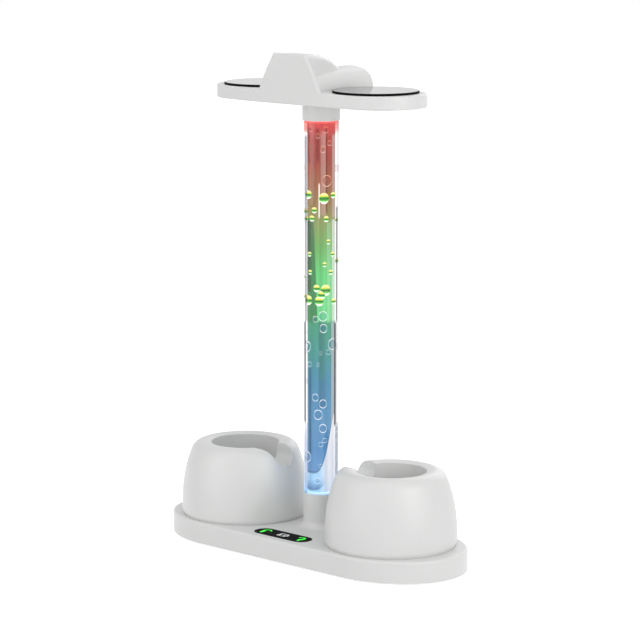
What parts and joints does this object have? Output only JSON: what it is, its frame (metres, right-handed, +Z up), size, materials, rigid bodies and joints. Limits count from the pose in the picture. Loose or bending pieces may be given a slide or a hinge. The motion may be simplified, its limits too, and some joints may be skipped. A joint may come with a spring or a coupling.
{
  "type": "vr headset charging dock",
  "caption": "Headset stand with a lit clear column on an oval base, round charging cups for hand controllers, and an oval top cradle with rest pads and a nose block.",
  "frame": {"origin": "centre of the base on the floor it stands on", "axes": "+X to the right seen from the front, +Y to the rear, +Z up the column"},
  "size_m": [0.309, 0.1188, 0.43],
  "materials": {
    "white_shell": "satin moulded",
    "clear_acrylic": "clear polished",
    "milky_diffuser": "milky, lit from inside",
    "black_gloss": "polished",
    "foot_rubber": "matt",
    "ballast_steel": "plain rolled",
    "screw_steel": "zinc plated",
    "contact_housing": "moulded",
    "circuit_board": "solder mask",
    "contact_gold": "gold plated",
    "spring_steel": "drawn wire",
    "socket_metal": "plated",
    "chip_plastic": "moulded",
    "connector_plastic": "moulded",
    "lead_jacket": "soft vinyl",
    "lamp_lens": "clear encapsulant"
  },
  "bodies": {
    "dock": {"base_shell": "white_shell", "bottom_cover": "white_shell", "left_cup": "white_shell", "right_cup": "white_shell", "top_collar": "white_shell", "cradle_shell": "white_shell", "cradle_cover": "white_shell", "bubble_tube": "clear_acrylic", "light_diffuser": "milky_diffuser", "left_rest_pad": "black_gloss", "right_rest_pad": "black_gloss", "indicator_panel": "black_gloss", "foot_front_left": "foot_rubber", "foot_rear_left": "foot_rubber", "foot_front_right": "foot_rubber", "foot_rear_right": "foot_rubber", "left_ballast_plate": "ballast_steel", "right_ballast_plate": "ballast_steel", "cover_screws": "screw_steel", "left_cup_screws": "screw_steel", "right_cup_screws": "screw_steel", "board_screws": "screw_steel", "indicator_screws": "screw_steel", "collar_screws": "screw_steel", "cradle_screws": "screw_steel", "left_contact_block": "contact_housing", "right_contact_block": "contact_housing", "left_contact_board": "circuit_board", "right_contact_board": "circuit_board", "main_board": "circuit_board", "indicator_board": "circuit_board", "light_strip": "circuit_board", "left_outer_pin_spring": "spring_steel", "left_inner_pin_spring": "spring_steel", "right_outer_pin_spring": "spring_steel", "right_inner_pin_spring": "spring_steel", "power_socket": "socket_metal", "headset_socket": "socket_metal", "charge_controller": "chip_plastic", "board_connectors": "connector_plastic", "left_contact_lead": "lead_jacket", "right_contact_lead": "lead_jacket", "column_lead": "lead_jacket", "indicator_lead": "lead_jacket", "indicator_leds": "lamp_lens", "strip_leds": "lamp_lens"},
    "left_outer_pin": {"left_outer_contact_pin": "contact_gold"},
    "left_inner_pin": {"left_inner_contact_pin": "contact_gold"},
    "right_outer_pin": {"right_outer_contact_pin": "contact_gold"},
    "right_inner_pin": {"right_inner_contact_pin": "contact_gold"}
  },
  "joints": [
    {"name": "left_outer_pin_press", "type": "slide", "parent": "dock", "child": "left_outer_pin", "axis": [0, 0, 1], "range_m": [-0.0012, 0], "stiffness_N_per_m": 250, "springref_m": 0.0015, "deforming": ["left_outer_pin_spring"]},
    {"name": "left_inner_pin_press", "type": "slide", "parent": "dock", "child": "left_inner_pin", "axis": [0, 0, 1], "range_m": [-0.0012, 0], "stiffness_N_per_m": 250, "springref_m": 0.0015, "deforming": ["left_inner_pin_spring"]},
    {"name": "right_outer_pin_press", "type": "slide", "parent": "dock", "child": "right_outer_pin", "axis": [0, 0, 1], "range_m": [-0.0012, 0], "stiffness_N_per_m": 250, "springref_m": 0.0015, "deforming": ["right_outer_pin_spring"]},
    {"name": "right_inner_pin_press", "type": "slide", "parent": "dock", "child": "right_inner_pin", "axis": [0, 0, 1], "range_m": [-0.0012, 0], "stiffness_N_per_m": 250, "springref_m": 0.0015, "deforming": ["right_inner_pin_spring"]}
  ]
}
